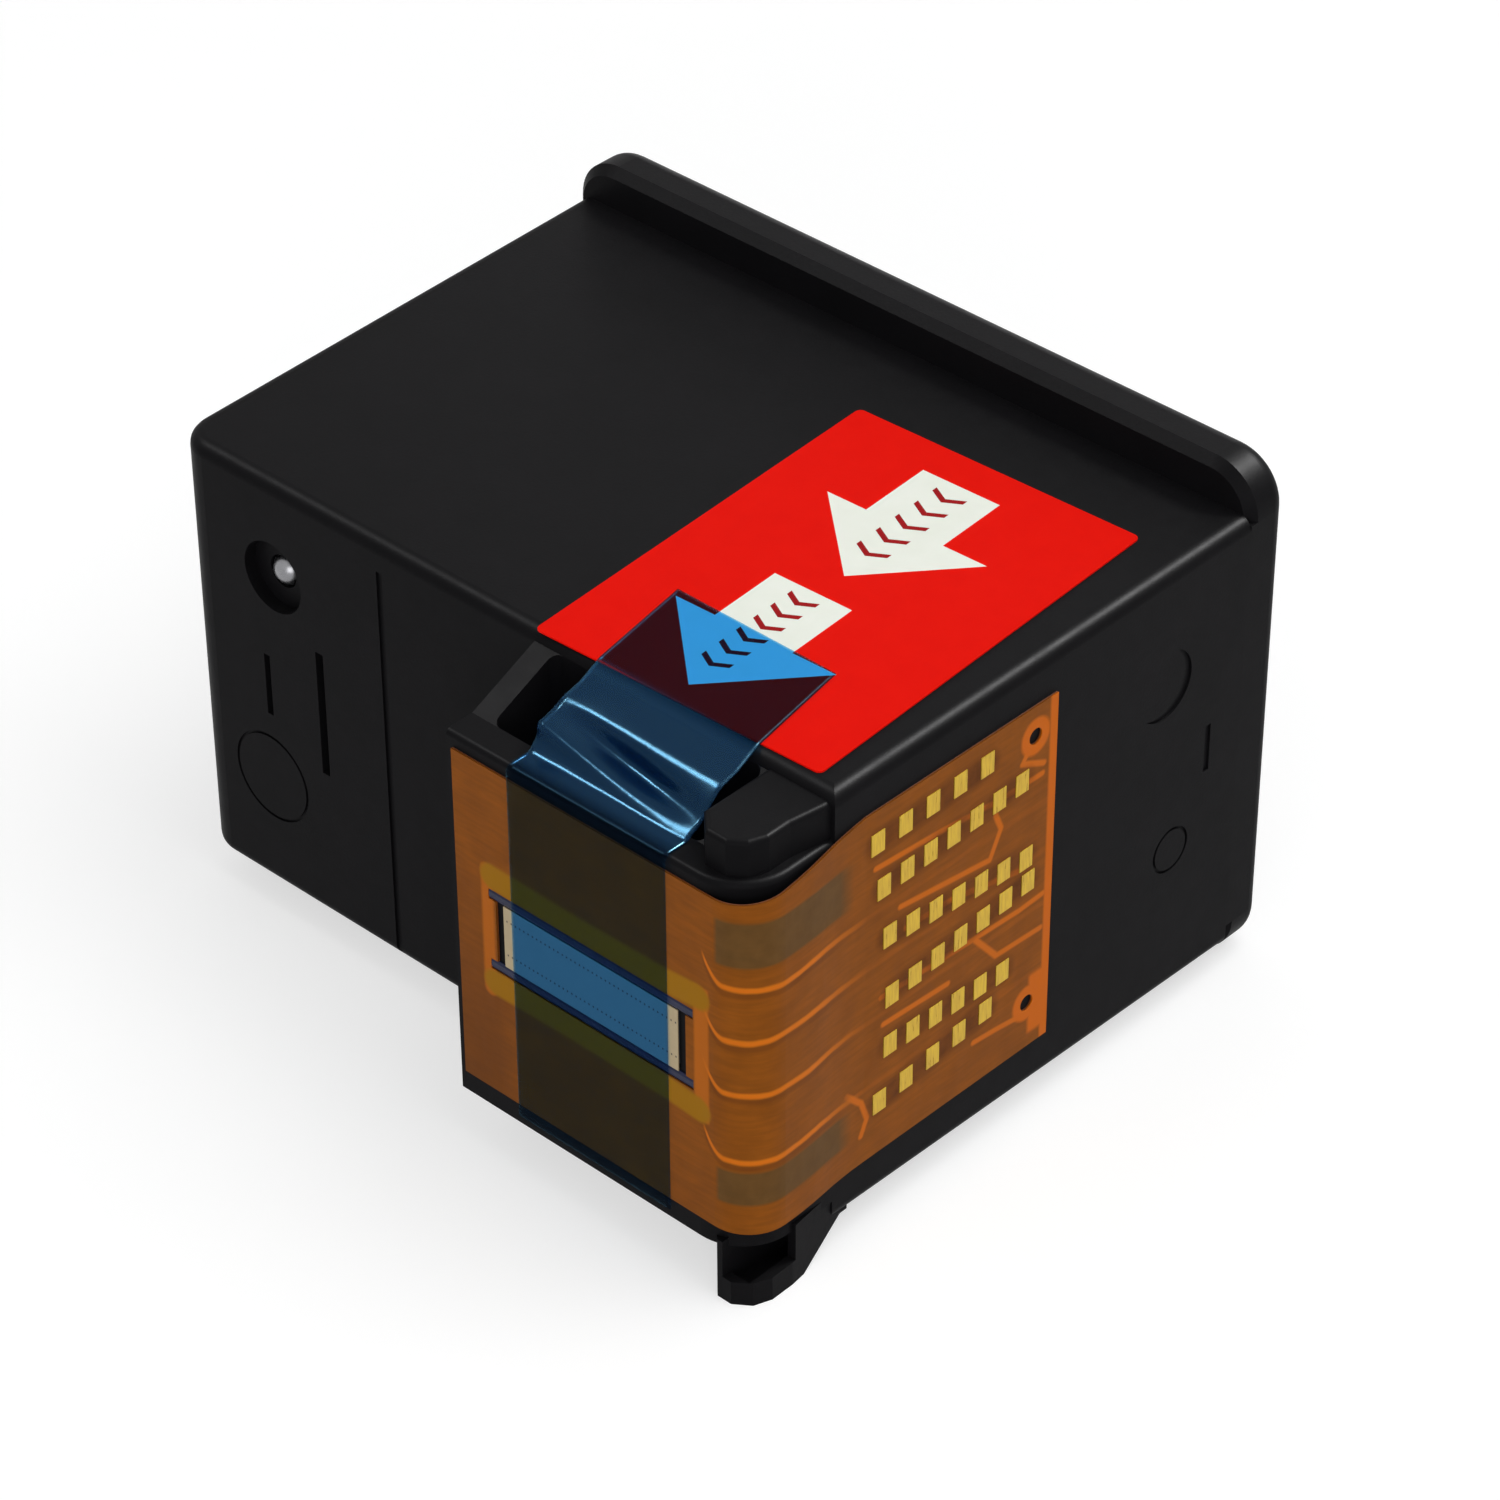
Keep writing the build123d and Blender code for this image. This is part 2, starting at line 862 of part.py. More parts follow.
def trace_levels():
    """The levels between which the bundles of conductors lie, round the bend."""
    lowest = film_bottom + trace_margin
    highest = film_top - trace_margin
    first = lowest + outer_bundle_height
    last = highest - outer_bundle_height
    step = (last - first) / inner_bundle_count
    inner = [first + number * step for number in range(inner_bundle_count + 1)]
    return [lowest] + inner + [highest]


def traces():
    """The conductors: the bundles round the bend and the fans above and below the window."""
    near = cover_thickness
    far = cover_thickness + copper_thickness
    bundles = Part()
    levels = trace_levels()
    for low, high in zip(levels[:-1], levels[1:]):
        bundles += film_layer(near, far, low + trace_gap / 2, high - trace_gap / 2)
    keep = block(
        trace_start,
        foot_tip + past,
        -film_face - past,
        bend_return - trace_end_margin,
        0,
        tank_height,
    )
    bundles = (bundles & keep) - film_trim(trace_margin)
    fan_middle = window_height / 2 + fan_gap + fan_height / 2
    for side in (-1, 1):
        z = head_middle_z + side * fan_middle
        bundles += block(
            head_middle_x - window_length / 2,
            trace_start - fan_gap,
            -snout_reach - far,
            -snout_reach - near,
            z - fan_height / 2,
            z + fan_height / 2,
        )
    return bundles


def pads():
    """The contact pads in the openings of the film."""
    group = Part()
    top = cover_thickness + copper_thickness + film_thickness + pad_proud
    for along, level in pad_places():
        shape = Pos(along, level) * Rectangle(pad_length - pad_gap, pad_height - pad_gap)
        group += on_contact_side(shape, cover_thickness, top)
    return group


def chip():
    """The silicon chip, with the ink slot through it."""
    solid = block(
        head_middle_x - chip_length / 2,
        head_middle_x + chip_length / 2,
        -chip_face,
        -chip_face + chip_thickness,
        head_middle_z - chip_height / 2,
        head_middle_z + chip_height / 2,
    )
    slot = rounded_bar(
        head_middle_x,
        head_middle_z,
        ink_slot_length,
        chip_slot_height,
        chip_slot_radius,
        -chip_face - past,
        -chip_face + chip_thickness + past,
    )
    return solid - slot


def adhesive():
    """The adhesive ring under the chip, round the ink slot."""
    back = -snout_reach + chip_pocket_depth()
    front = back - adhesive_thickness
    outer = block(
        head_middle_x - chip_length / 2,
        head_middle_x + chip_length / 2,
        front,
        back,
        head_middle_z - chip_height / 2,
        head_middle_z + chip_height / 2,
    )
    opening = rounded_bar(
        head_middle_x,
        head_middle_z,
        ink_slot_length + 2 * adhesive_setback,
        ink_slot_height + 2 * adhesive_setback,
        ink_slot_radius + adhesive_setback,
        front - past,
        back + past,
    )
    return outer - opening


def head_layer(front, back, length, height):
    """A flat layer of the printhead between two distances from the tank's front wall."""
    return block(
        head_middle_x - length / 2,
        head_middle_x + length / 2,
        -front,
        -back,
        head_middle_z - height / 2,
        head_middle_z + height / 2,
    )


def barrier():
    """The layer with the ink chambers between the chip and the nozzle plate."""
    layer = head_layer(chip_face + barrier_thickness, chip_face, chip_length, chip_height)
    channel = rounded_bar(
        head_middle_x,
        head_middle_z,
        ink_slot_length,
        ink_slot_height,
        ink_slot_radius,
        -chip_face - past,
        -chip_face + past,
    )
    return layer - channel


def plate():
    """The nozzle plate."""
    inner = chip_face + barrier_thickness
    return head_layer(inner + plate_thickness, inner, plate_length, plate_height)


def bead(side):
    """The sealing bead over the bond leads, along one long edge of the nozzle plate."""
    proud = film_face - snout_reach - bead_clearance
    section = Polyline(
        (-bead_height / 2, 0),
        (-bead_height / 2, proud / 2),
        (-bead_height / 4, proud),
        (bead_height / 4, proud),
        (bead_height / 2, proud / 2),
        (bead_height / 2, 0),
        close=True,
    )
    plane = Plane(
        origin=(head_middle_x - bead_length / 2, -snout_reach, bead_level(side)),
        x_dir=(0, 0, 1),
        z_dir=(1, 0, 0),
    )
    return extrude(plane * make_face(section), bead_length)


def upper_plane():
    """The plane of the tank's upper wall: local x runs along the tank, local y along its depth."""
    along = Vector(0, cos(radians(tank_draft)), sin(radians(tank_draft)))
    outward = Vector(0, -sin(radians(tank_draft)), cos(radians(tank_draft)))
    return Plane(origin=(0, 0, tank_height), x_dir=(1, 0, 0), z_dir=outward)


def label():
    """The pull label on the upper wall, stuck on a little askew."""
    front = Pos(tank_length - label_from_contact_side, label_front_y)
    sheet = front * Rot(Z=label_turn) * Pos(0, label_length / 2)
    sheet = sheet * RectangleRounded(label_width, label_length, label_corner_radius)
    return extrude(upper_plane() * sheet, label_thickness)


def tape_line():
    """The inner line of the tape seen from the contact side, as y and z."""
    on_label = label_thickness + tape_clearance
    front_y = -film_face - tape_clearance
    shelf_z = snout_top + tape_clearance
    points = [
        (tape_on_label, upper_face(tape_on_label) + on_label),
        (loop_start, upper_face(loop_start) + on_label),
        (-loop_reach, tank_height - loop_drop),
        (-snout_reach + pocket_wall - tape_landing, shelf_z),
        (front_y, shelf_z),
        (front_y, snout_bottom + tape_end_gap),
    ]
    corner_radius = shelf_edge_radius + tape_clearance
    radii = [loop_start_radius, loop_radius, loop_landing_radius, corner_radius]
    return FilletPolyline(*points, radius=radii)


def tape():
    """The seal tape: from the label in a loose loop over the pocket, then down over the nozzles."""
    face = make_face(offset(tape_line(), tape_thickness, side=Side.RIGHT))
    left = head_middle_x - tape_width / 2
    return extrude(Plane.YZ.offset(left) * face, tape_width)


def pieces():
    """Every piece of the cartridge, by the name of its node."""
    return {
        "tank_body": tank_body(),
        "tank_lid": lid(),
        "fill_plug": fill_ball(),
        "ink_foam": foam(),
        "filter_screen": filter_screen(),
        "printhead_chip": chip(),
        "chip_adhesive": adhesive(),
        "ink_barrier": barrier(),
        "nozzle_plate": plate(),
        "encapsulant_bead_upper": bead(1),
        "encapsulant_bead_lower": bead(-1),
        "flex_film": film(),
        "flex_cover_layer": cover_layer(),
        "copper_traces": traces(),
        "contact_pads": pads(),
        "pull_label": label(),
        "seal_tape": tape(),
    }


def write_parts():
    """Writes each piece, with the origin at the middle of the footprint."""
    shapes = pieces()
    boxes = [shape.bounding_box() for shape in shapes.values()]
    left = min(box.min.X for box in boxes)
    right = max(box.max.X for box in boxes)
    front = min(box.min.Y for box in boxes)
    back = max(box.max.Y for box in boxes)
    ground = min(box.min.Z for box in boxes)
    home = Pos(-(left + right) / 2, -(front + back) / 2, -ground)
    os.makedirs("parts", exist_ok=True)
    for name, shape in shapes.items():
        export_step(home * shape, f"parts/{name}.step")


write_parts()
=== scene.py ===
"""Looks of the inkjet ink cartridge: camera, light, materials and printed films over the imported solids.

Sizes are in millimetres in the design frame: x = 0 is the tank's plain end, y = 0 its front wall and
z = 0 its lower wall. place() gives the same point in metres in the frame of the pack.
"""

from math import cos, exp, pi, radians, sin, tan

import bpy
from mathutils import Matrix, Vector
from mathutils.geometry import delaunay_2d_cdt


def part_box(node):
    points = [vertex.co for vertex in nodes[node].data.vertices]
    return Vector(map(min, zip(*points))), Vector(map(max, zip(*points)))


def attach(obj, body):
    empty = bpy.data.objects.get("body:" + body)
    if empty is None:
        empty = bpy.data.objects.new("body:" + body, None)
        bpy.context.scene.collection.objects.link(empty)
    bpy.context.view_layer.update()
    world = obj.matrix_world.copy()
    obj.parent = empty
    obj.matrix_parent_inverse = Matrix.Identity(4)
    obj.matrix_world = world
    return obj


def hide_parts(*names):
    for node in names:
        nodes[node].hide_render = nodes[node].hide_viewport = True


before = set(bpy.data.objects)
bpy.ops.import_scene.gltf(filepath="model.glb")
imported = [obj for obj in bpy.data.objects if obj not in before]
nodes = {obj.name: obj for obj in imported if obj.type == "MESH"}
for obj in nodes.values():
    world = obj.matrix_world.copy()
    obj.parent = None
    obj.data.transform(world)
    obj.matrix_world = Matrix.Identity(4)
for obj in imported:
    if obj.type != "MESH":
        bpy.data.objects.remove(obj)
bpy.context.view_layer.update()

# Tank and printhead
MM = 0.001
tank_draft = radians(0.75)
tank_length = 53.5
tank_depth = 35.7
tank_height = 31.0
head_middle_z = 15.4
body_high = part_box("tank_body")[1]
plate_low, plate_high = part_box("nozzle_plate")
origin = Vector((
    body_high.x - (tank_length + tank_depth * tan(tank_draft)) * MM,
    body_high.y - tank_depth * MM,
    (plate_low.z + plate_high.z) / 2 - head_middle_z * MM,
))

# Camera, as in the photograph
camera_azimuth = radians(42.99)
camera_elevation = radians(36.93)
camera_roll = radians(-0.26)
camera_point = (204.85, -169.13, 204.81)
camera_lens = 126.21
camera_sensor = 36.0

# World and floor. The floor's half width is in metres, and its glow keeps it white round the shadow
white = (1.0, 1.0, 1.0, 1.0)
world_strength = 0.5
background_strength = 1.0
floor_half = 2.0
floor_tone = (0.86, 0.86, 0.86, 1.0)
floor_glow = 1.45
floor_glow_share = 0.4

# Flex circuit, with y where its front ends, where its side starts and where its film ends.
# On its front, lines and boxes are in x and z, and on its side in y and z. A box is left, right, bottom, top
front_edge = (-7.3, -7.05)
side_start = (0.5, 1.5)
film_end = (17.75, 17.95)
patch_levels = ((22.8, 25.7), (5.5, 7.7))
ridge_levels = (8.6, 13.5, 17.4, 21.1)
ridge_half = 0.1
window_left_line = ((33.5, 19.6), (33.5, 10.9))
window_right_box = (49.8, 50.7, 10.7, 20.2)
upper_fan = ((33.9, 19.3), (40.0, 19.2), (47.6, 19.3), (50.0, 19.5))
lower_fan = ((33.9, 11.5), (40.0, 11.6), (47.6, 11.5), (50.0, 11.3))
side_conductors = (
    ((3.2, 24.3), (8.5, 23.9), (13.8, 23.3), (17.3, 23.2)),
    ((5.3, 20.4), (12.9, 19.4), (13.8, 21.2), (13.3, 22.4)),
    ((5.8, 18.6), (9.6, 18.4), (15.5, 17.1)),
    ((3.8, 14.7), (11.7, 14.3), (13.7, 11.9), (17.6, 11.7)),
    ((11.7, 14.3), (15.6, 14.1), (17.7, 14.2)),
    ((4.0, 12.6), (9.5, 12.3)),
    ((0.9, 9.1), (2.2, 7.8), (2.7, 6.4), (2.2, 5.3)),
    ((11.9, 6.4), (13.9, 6.2), (16.0, 5.9)),
    ((17.2, 26.9), (15.5, 24.8), (17.4, 23.9)),
)
pad_rows = (
    ((3.7, 7.0), (12.9, 8.3)),
    ((4.6, 10.9), (14.3, 10.4)),
    ((4.7, 14.5), (16.3, 15.9)),
    ((4.4, 18.9), (16.1, 17.7)),
    ((3.9, 22.7), (15.6, 23.5)),
    ((3.3, 26.0), (12.5, 26.4)),
)
tooling_hole_y = 16.6
tooling_hole_levels = (6.6, 26.2)
tooling_rim_radius = 1.1
end_strip_box = (16.9, 18.6, 4.3, 8.4)

# Nozzle plate, with its green part in x and its rows in z
nozzle_pitch = 0.34
nozzle_rows = (14.16, 16.64)
green_part = (35.6, 47.5)

# Pull label, with arrows that point to its front edge
label_width = 21.1
label_length = 29.0
label_thickness = 0.1
label_middle_x = 41.0
label_front_y = 0.5
label_turn = radians(2.4)
label_corner_radius = 0.4
arrow_tips = ((-0.24, 15.1), (-0.31, 1.55))
arrow_head = 5.95
arrow_head_sides = (-6.45, 5.5)
arrow_shaft_sides = (-3.5, 2.25)
arrow_shaft = 5.3
mark_across = -0.6
mark_stroke = 0.42
mark_lean = 0.55

# Rows of marks on the arrows: their number, first place, pitch and half width
mark_rows = ((5, 17.4, 1.75, 1.15), (6, 3.6, 1.5, 1.05))

# Seal tape: y and z of its middle line, from its end on the label to the snout's foot
tape_thickness = 0.06
tape_corners = ((8.2, 31.27), (0.5, 31.17), (-2.8, 30.3), (-5.6, 28.08), (-7.42, 28.08), (-7.42, 2.4))
tape_corner_radii = (2.5, 1.4, 0.6, 0.43)
tape_arc_steps = 8
tape_spacing = 0.25
tape_columns = 36
tape_askew = -1.55
tape_askew_start = -1.5
dent_top = 30.9
dent_height = 2.8
dent_start = -1.2


def place(x, y, z):
    """A point of the design frame, in metres in the frame of the pack."""
    return origin + Vector((x, y, z)) * MM


class Graph:
    """Builds the nodes of one material, or of the world."""

    def __init__(self, name, world=False):
        self.owner = bpy.data.worlds.new(name) if world else bpy.data.materials.new(name)
        self.owner.use_nodes = True
        self.tree = self.owner.node_tree
        self.tree.nodes.clear()
        self.output = self.add("ShaderNodeOutputWorld" if world else "ShaderNodeOutputMaterial")
        self.coordinates = None

    def add(self, kind, settings=None, **inputs):
        """A node with its settings and its inputs, each a value or another node's output."""
        node = self.tree.nodes.new(kind)
        for name, value in (settings or {}).items():
            setattr(node, name, value)
        for name, value in inputs.items():
            self.feed(node, name.replace("_", " "), value)
        return node

    def feed(self, node, key, value):
        """Sets one input, by its name or number, to a value or a link."""
        socket = node.inputs[key]
        if isinstance(value, bpy.types.NodeSocket):
            self.tree.links.new(value, socket)
        elif isinstance(value, bpy.types.Node):
            self.tree.links.new(value.outputs[0], socket)
        else:
            socket.default_value = value

    def feed_all(self, node, *values):
        """Sets the first inputs in their order."""
        for number, value in enumerate(values):
            self.feed(node, number, value)

    def math(self, operation, *values):
        """The result of a sum on values or outputs."""
        node = self.add("ShaderNodeMath", {"operation": operation})
        self.feed_all(node, *values)
        return node.outputs[0]

    def design(self):
        """The shaded point in the design frame, as a vector and as its x, y and z."""
        if self.coordinates is None:
            moved = self.add("ShaderNodeVectorMath", {"operation": "SUBTRACT"})
            self.feed_all(moved, self.add("ShaderNodeTexCoord").outputs["Object"], origin)
            scaled = self.add("ShaderNodeVectorMath", {"operation": "SCALE"}, Scale=1 / MM)
            self.feed(scaled, 0, moved)
            split = self.add("ShaderNodeSeparateXYZ", Vector=scaled)
            self.coordinates = (scaled.outputs[0], *split.outputs)
        return self.coordinates

    def noise(self, scale, detail=3.0, roughness=0.5, stretch=None):
        """Noise with features of about 1/scale millimetres."""
        vector = self.design()[0]
        if stretch:
            vector = self.add("ShaderNodeMapping", Vector=vector, Scale=stretch).outputs[0]
        return self.add(
            "ShaderNodeTexNoise",
            Vector=vector,
            Scale=scale,
            Detail=detail,
            Roughness=roughness,
        ).outputs["Fac"]

    def blend(self, share, low, high):
        """A colour between two colours or colour outputs."""
        node = self.add("ShaderNodeMix", {"data_type": "RGBA"})
        for number, value in ((0, share), (6, low), (7, high)):
            self.feed(node, number, value)
        return node.outputs[2]

    def paint(self, tone, ink, *masks):
        """A tone with another colour laid over it, where all the masks are 1."""
        return self.blend(self.both(*masks), tone, ink)

    def spread(self, value, low, high, to_low=0.0, to_high=1.0):
        """A value moved from one range to another, and kept inside it."""
        node = self.add("ShaderNodeMapRange")
        self.feed_all(node, value, low, high, to_low, to_high)
        return node.outputs[0]

    def bump(self, height, strength, distance):
        """A bumped normal."""
        return self.add("ShaderNodeBump", Height=height, Strength=strength, Distance=distance).outputs[0]

    def band(self, value, low, high, soft):
        """1 where a value lies between two limits, fading to 0 over a soft edge."""
        half = (high - low) / 2
        away = self.math("ABSOLUTE", self.math("SUBTRACT", value, (low + high) / 2))
        return self.spread(away, half, half + soft, 1.0, 0.0)

    def patch(self, across, up, limits, soft):
        """1 inside a box of two coordinates: limits are left, right, bottom and top."""
        left, right, bottom, top = limits
        return self.both(self.band(across, left, right, soft), self.band(up, bottom, top, soft))

    def stroke(self, across, up, points, half, soft):
        """1 on a line through points, with half its width, fading over a soft edge."""
        nearest = None
        for (first_x, first_y), (last_x, last_y) in zip(points, points[1:]):
            run = last_x - first_x
            rise = last_y - first_y
            square = run**2 + rise**2
            from_x = self.math("SUBTRACT", across, first_x)
            from_y = self.math("SUBTRACT", up, first_y)
            part = self.math("MULTIPLY", from_x, run / square)
            part = self.math("MULTIPLY_ADD", from_y, rise / square, part)
            part = self.spread(part, 0.0, 1.0)
            off_x = self.math("MULTIPLY_ADD", part, -run, from_x)
            off_y = self.math("MULTIPLY_ADD", part, -rise, from_y)
            away = self.math("MULTIPLY_ADD", off_x, off_x, self.math("MULTIPLY", off_y, off_y))
            nearest = away if nearest is None else self.math("MINIMUM", nearest, away)
        return self.spread(self.math("SQRT", nearest), half, half + soft, 1.0, 0.0)

    def either(self, *masks):
        """The greatest of some masks."""
        most = masks[0]
        for mask in masks[1:]:
            most = self.math("MAXIMUM", most, mask)
        return most

    def both(self, *masks):
        """The product of some masks, of which the later ones may be plain numbers."""
        least = masks[0]
        for mask in masks[1:]:
            least = self.math("MULTIPLY", least, mask)
        return least

    def mix(self, share, low, high):
        """A shader between two shaders."""
        node = self.add("ShaderNodeMixShader")
        self.feed_all(node, share, low, high)
        return node

    def surface(self, shader):
        """Makes a shader the surface, and gives the finished material or world."""
        self.feed(self.output, "Surface", shader)
        return self.owner

    def principled(self, **inputs):
        """The finished material with the usual surface shader."""
        return self.surface(self.add("ShaderNodeBsdfPrincipled", **inputs))


def colour(red, green, blue):
    """A linear colour from display values between 0 and 255."""
    def linear(value):
        share = value / 255
        return share / 12.92 if share <= 0.04045 else ((share + 0.055) / 1.055) ** 2.4

    return (linear(red), linear(green), linear(blue), 1.0)


def black_plastic():
    """Moulded black plastic with a fine spark-eroded grain."""
    graph = Graph("moulded_black_plastic")
    grain = graph.noise(5.0, detail=6.0, roughness=0.7)
    tone = graph.blend(graph.noise(0.25), colour(13, 13, 14), colour(19, 18, 20))
    rough = graph.spread(graph.noise(0.8), 0.3, 0.7, 0.41, 0.46)
    normal = graph.bump(grain, 0.22, 0.00005)
    return graph.principled(Base_Color=tone, Roughness=rough, Specular_IOR_Level=0.025, Normal=normal)


def simple_metal(name, low, high, roughness):
    """Metal with a little wear in its tone."""
    graph = Graph(name)
    tone = graph.blend(graph.noise(1.2), low, high)
    rough = graph.spread(graph.noise(2.5), 0.3, 0.7, roughness - 0.06, roughness + 0.06)
    return graph.principled(Base_Color=tone, Roughness=rough, Metallic=1.0)


def simple_solid(name, low, high, roughness, scale=1.0, grain=0.3):
    """A dull material with some mottling and grain."""
    graph = Graph(name)
    tone = graph.blend(graph.noise(scale), low, high)
    normal = graph.bump(graph.noise(scale * 6), grain, 0.00005)
    return graph.principled(Base_Color=tone, Roughness=roughness, Specular_IOR_Level=0.2, Normal=normal)


def label_print(name, low, high):
    """Glossy printed film of one colour."""
    graph = Graph(name)
    tone = graph.blend(graph.noise(0.6), low, high)
    normal = graph.bump(graph.noise(1.5), 0.12, 0.00004)
    return graph.principled(Base_Color=tone, Roughness=0.34, Specular_IOR_Level=0.015, Normal=normal)


def on_front(graph):
    """1 on the film's front, beside the nozzles."""
    return graph.spread(graph.design()[2], *front_edge, 1.0, 0.0)


def on_side(graph):
    """1 on the film's side, among the pads."""
    return graph.spread(graph.design()[2], *side_start)


def film_base(graph, mottle):
    """Orange film, mottled, with level streaks, and a painted shade over the left edge of its front that
    grows darker towards the bottom.
    """
    _, x, _, z = graph.design()
    tone = graph.blend(mottle, colour(114, 62, 13), colour(145, 81, 21))
    streaks = graph.noise(1.4, detail=2.0, stretch=(0.35, 0.35, 3.2))
    tone = graph.paint(tone, colour(98, 56, 16), graph.spread(streaks, 0.35, 0.7, 0.0, 0.35))
    # painted shade: the front's left edge is darkened, more strongly towards the bottom
    left = graph.spread(x, 34.0, 36.0, 1.0, 0.0)
    low = graph.spread(z, 6.0, 20.0, 0.6, 0.0)
    return graph.paint(tone, colour(92, 52, 20), on_front(graph), left, low)


def film_patches(graph, tone):
    """Two dark woven patches behind the film, just round the bend."""
    _, x, y, z = graph.design()
    round_bend = graph.spread(x, 51.2, 51.5)
    before_pads = graph.spread(y, 0.2, 1.4, 1.0, 0.0)
    levels = graph.either(*[graph.band(z, low, high, 0.25) for low, high in patch_levels])
    weave = graph.blend(graph.noise(1.1, detail=5.0), colour(72, 54, 28), colour(96, 73, 40))
    return graph.paint(tone, weave, round_bend, before_pads, levels, 0.85)


def film_ridges(graph, tone):
    """Bright ridges round the bend, each with a shade under it. They rise towards the front."""
    _, x, y, z = graph.design()
    rise = graph.spread(x, 50.4, 51.9, 1.3, 0.0)
    level = graph.math("SUBTRACT", z, graph.math("MULTIPLY", rise, rise))
    level = graph.math("ADD", level, graph.math("MULTIPLY_ADD", graph.noise(0.25), 0.5, -0.25))
    reach = graph.both(graph.spread(x, 50.3, 50.6), graph.spread(y, -2.0, 2.6, 1.0, 0.1))
    ridges = []
    shades = []
    for middle in ridge_levels:
        ridges.append(graph.band(level, middle - ridge_half, middle + ridge_half, 0.18))
        shades.append(graph.band(level, middle - 0.55, middle - 0.3, 0.2))
    tone = graph.paint(tone, colour(84, 44, 18), graph.either(*shades), reach, 0.35)
    return graph.paint(tone, colour(196, 104, 22), graph.either(*ridges), reach)


def film_window(graph, tone):
    """The bright rim of the printhead's window, and the olive fans of conductors over and under it."""
    _, x, _, z = graph.design()
    rim = graph.either(
        graph.stroke(x, z, window_left_line, 0.35, 0.25),
        graph.patch(x, z, window_right_box, 0.2),
    )
    front = on_front(graph)
    tone = graph.paint(tone, colour(178, 96, 22), rim, front, 0.8)
    fans = graph.either(*[graph.stroke(x, z, fan, 0.75, 0.3) for fan in (upper_fan, lower_fan)])
    return graph.paint(tone, colour(146, 100, 12), fans, front)


def film_conductors(graph, tone):
    """Bright conductors between the rows of pads, and a painted shade along the rows of pads."""
    _, _, y, z = graph.design()
    side = on_side(graph)
    wires = graph.either(*[graph.stroke(y, z, line, 0.12, 0.16) for line in side_conductors])
    tone = graph.paint(tone, colour(186, 96, 20), wires, side)
    # painted shade: the film is darkened unevenly along each row of pads
    shade = graph.either(*[graph.stroke(y, z, line, 0.55, 0.7) for line in pad_rows])
    uneven = graph.spread(graph.noise(0.9), 0.3, 0.7, 0.35, 0.8)
    return graph.paint(tone, colour(74, 38, 10), shade, side, uneven)


def film_rim(graph, tone):
    """The bright rim at the film's end, round its tooling holes and beside the lower one."""
    _, _, y, z = graph.design()
    bright = [graph.spread(y, *film_end)]
    for level in tooling_hole_levels:
        short_line = ((tooling_hole_y, level - 0.05), (tooling_hole_y, level + 0.05))
        bright.append(graph.stroke(y, z, short_line, tooling_rim_radius, 0.25))
    bright.append(graph.patch(y, z, end_strip_box, 0.3))
    return graph.paint(tone, colour(188, 94, 18), graph.either(*bright), on_side(graph))


def circuit_film():
    """Polyimide film, with the conductors behind it showing through."""
    graph = Graph("polyimide_circuit")
    mottle = graph.noise(0.45, detail=4.0)
    tone = film_base(graph, mottle)
    for layer in (film_patches, film_ridges, film_window, film_conductors, film_rim):
        tone = layer(graph, tone)
    dents = graph.noise(0.7, detail=2.0, stretch=(1.0, 1.0, 0.45))
    normal = graph.bump(dents, 0.3, 0.00012)
    rough = graph.spread(mottle, 0.3, 0.7, 0.28, 0.4)
    return graph.principled(Base_Color=tone, Roughness=rough, Specular_IOR_Level=0.03, Normal=normal)


def gold_pads():
    """Gold plating with fine upright scratches."""
    graph = Graph("gold_plating")
    scratches = graph.noise(2.2, detail=4.0, stretch=(3.0, 3.0, 0.35))
    tone = graph.blend(graph.spread(scratches, 0.35, 0.65), colour(186, 148, 30), colour(206, 170, 44))
    return graph.principled(
        Base_Color=tone,
        Roughness=graph.spread(scratches, 0.3, 0.7, 0.25, 0.5),
        Metallic=0.35,
        Specular_IOR_Level=0.25,
        Normal=graph.bump(scratches, 0.2, 0.00003),
    )


def nozzle_metal():
    """Plated nozzle plate, greener between its ends, with two rows of fine dark nozzles."""
    graph = Graph("plated_nozzles")
    _, x, _, z = graph.design()
    tone = graph.blend(graph.noise(0.9), colour(156, 138, 104), colour(174, 156, 122))
    tone = graph.paint(tone, colour(104, 152, 150), graph.band(x, *green_part, 0.3))
    spot = graph.spread(graph.math("PINGPONG", x, nozzle_pitch / 2), 0.03, 0.07, 1.0, 0.0)
    rows = graph.either(*[graph.band(z, level - 0.04, level + 0.04, 0.05) for level in nozzle_rows])
    tone = graph.paint(tone, colour(50, 44, 36), spot, rows)
    rough = graph.spread(graph.noise(2.5), 0.3, 0.7, 0.36, 0.48)
    return graph.principled(Base_Color=tone, Roughness=rough, Metallic=0.3)


